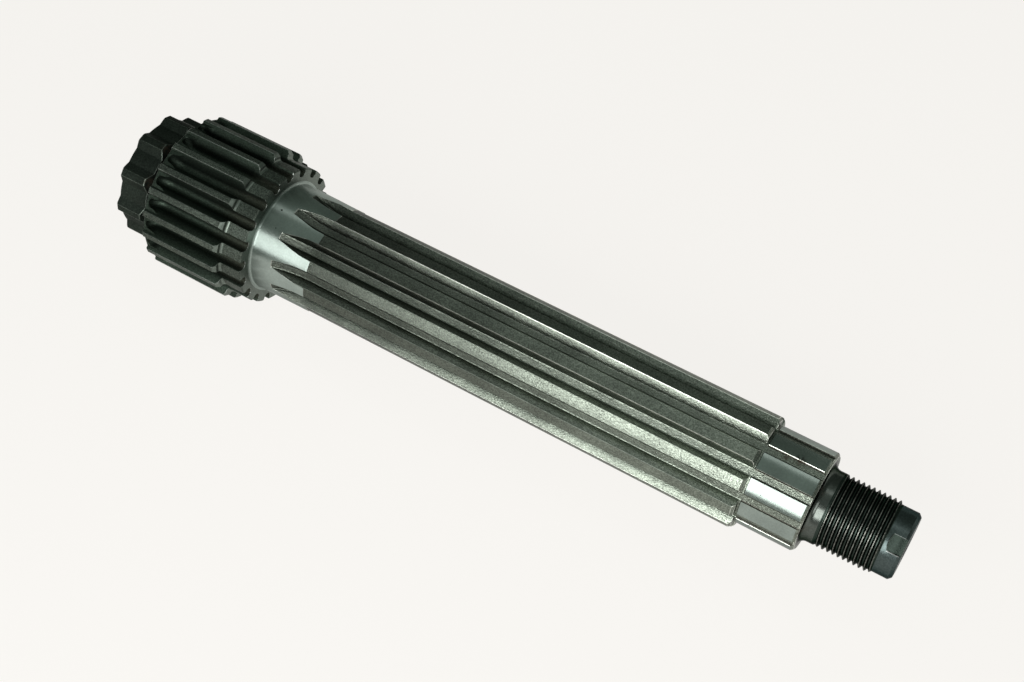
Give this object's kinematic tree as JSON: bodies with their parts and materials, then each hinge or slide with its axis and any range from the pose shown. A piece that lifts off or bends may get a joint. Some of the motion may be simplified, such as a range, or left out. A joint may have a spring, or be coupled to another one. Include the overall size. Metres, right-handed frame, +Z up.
{
  "type": "countershaft",
  "caption": "Steel countershaft with a pinion and a dog ring at one end, a long involute spline, and a threaded end for a lock nut.",
  "frame": {"origin": "on the shaft's axis, in the middle of the plain stretch of the bearing journal", "axes": "+X along the shaft from the pinion to the threaded end, +Z up as the shaft lies on two pinion teeth"},
  "size_m": [0.332, 0.0642, 0.0642],
  "materials": {
    "steel": "dark hardened steel, shot-cleaned between the teeth and ground on the journal and the seat"
  },
  "bodies": {
    "root": {"countershaft": "steel"}
  },
  "joints": []
}
